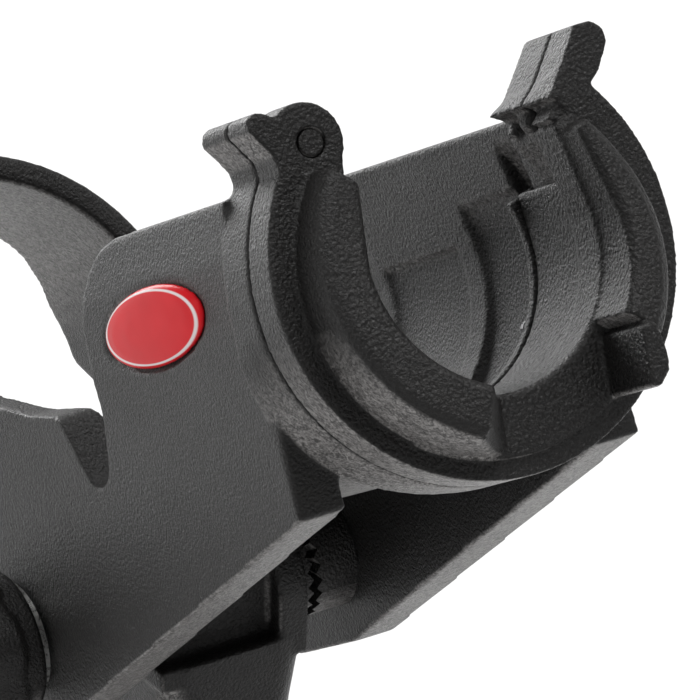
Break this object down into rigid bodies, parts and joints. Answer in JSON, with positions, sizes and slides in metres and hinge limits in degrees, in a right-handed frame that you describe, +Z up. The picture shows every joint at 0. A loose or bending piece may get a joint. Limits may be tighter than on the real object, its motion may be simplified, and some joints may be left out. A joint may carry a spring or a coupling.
{
  "type": "boat rod holder",
  "caption": "Adjustable boat rod holder: a deep tilting cradle with a turning lock ring and a butt hoop, on a swivelling post and a deck base.",
  "frame": {"origin": "centre of the base's underside, on the swivel axis", "axes": "+Z up off the deck, +X the way the rod points, -Y the side of the tilt knob"},
  "size_m": [0.2685, 0.1088, 0.261],
  "materials": {
    "black_nylon": "moulded, fine grain",
    "ring_nylon": "moulded, coarse grain",
    "red_enamel": "domed resin",
    "stainless": "turned",
    "blackened_steel": "blackened",
    "brass": "turned"
  },
  "bodies": {
    "base": {"deck_base": "black_nylon", "base_plug": "black_nylon", "button_spring": "stainless"},
    "mast": {"post": "black_nylon", "post_toothed_disc_near": "black_nylon", "post_toothed_disc_far": "black_nylon", "spigot_washer": "stainless", "spigot_screw": "stainless"},
    "holder": {"cradle": "black_nylon", "badge": "red_enamel", "cradle_toothed_disc_near": "black_nylon", "cradle_toothed_disc_far": "black_nylon", "tilt_bolt": "stainless", "knob_washer": "stainless"},
    "knob": {"tilt_knob": "black_nylon", "knob_insert": "brass", "knob_cap": "black_nylon"},
    "ring": {"lock_ring": "ring_nylon", "ring_retainer": "ring_nylon", "retainer_screw_1": "blackened_steel", "retainer_screw_2": "blackened_steel", "retainer_screw_3": "blackened_steel", "lip_pin": "ring_nylon"},
    "button": {"swivel_button": "ring_nylon"}
  },
  "joints": [
    {"name": "swivel", "type": "hinge", "parent": "base", "child": "mast", "pos_m": [0, 0, 0.03], "axis": [0, 0, 1], "continuous": true},
    {"name": "tilt", "type": "hinge", "parent": "mast", "child": "holder", "pos_m": [0, 0, 0.115], "axis": [0, -1, 0], "range_deg": [-35, 35]},
    {"name": "knob_turn", "type": "hinge", "parent": "holder", "child": "knob", "pos_m": [0, 0, 0.115], "axis": [0, -1, 0], "range_deg": [0, 540]},
    {"name": "ring_turn", "type": "hinge", "parent": "holder", "child": "ring", "pos_m": [0.0978, 0, 0.2338], "axis": [0.8221, 0, 0.5693], "range_deg": [0, 100]},
    {"name": "button_press", "type": "slide", "parent": "base", "child": "button", "axis": [0, 1, 0], "range_m": [0, 0.003], "stiffness_N_per_m": 1200, "springref_m": -0.002, "deforming": ["button_spring"]}
  ]
}
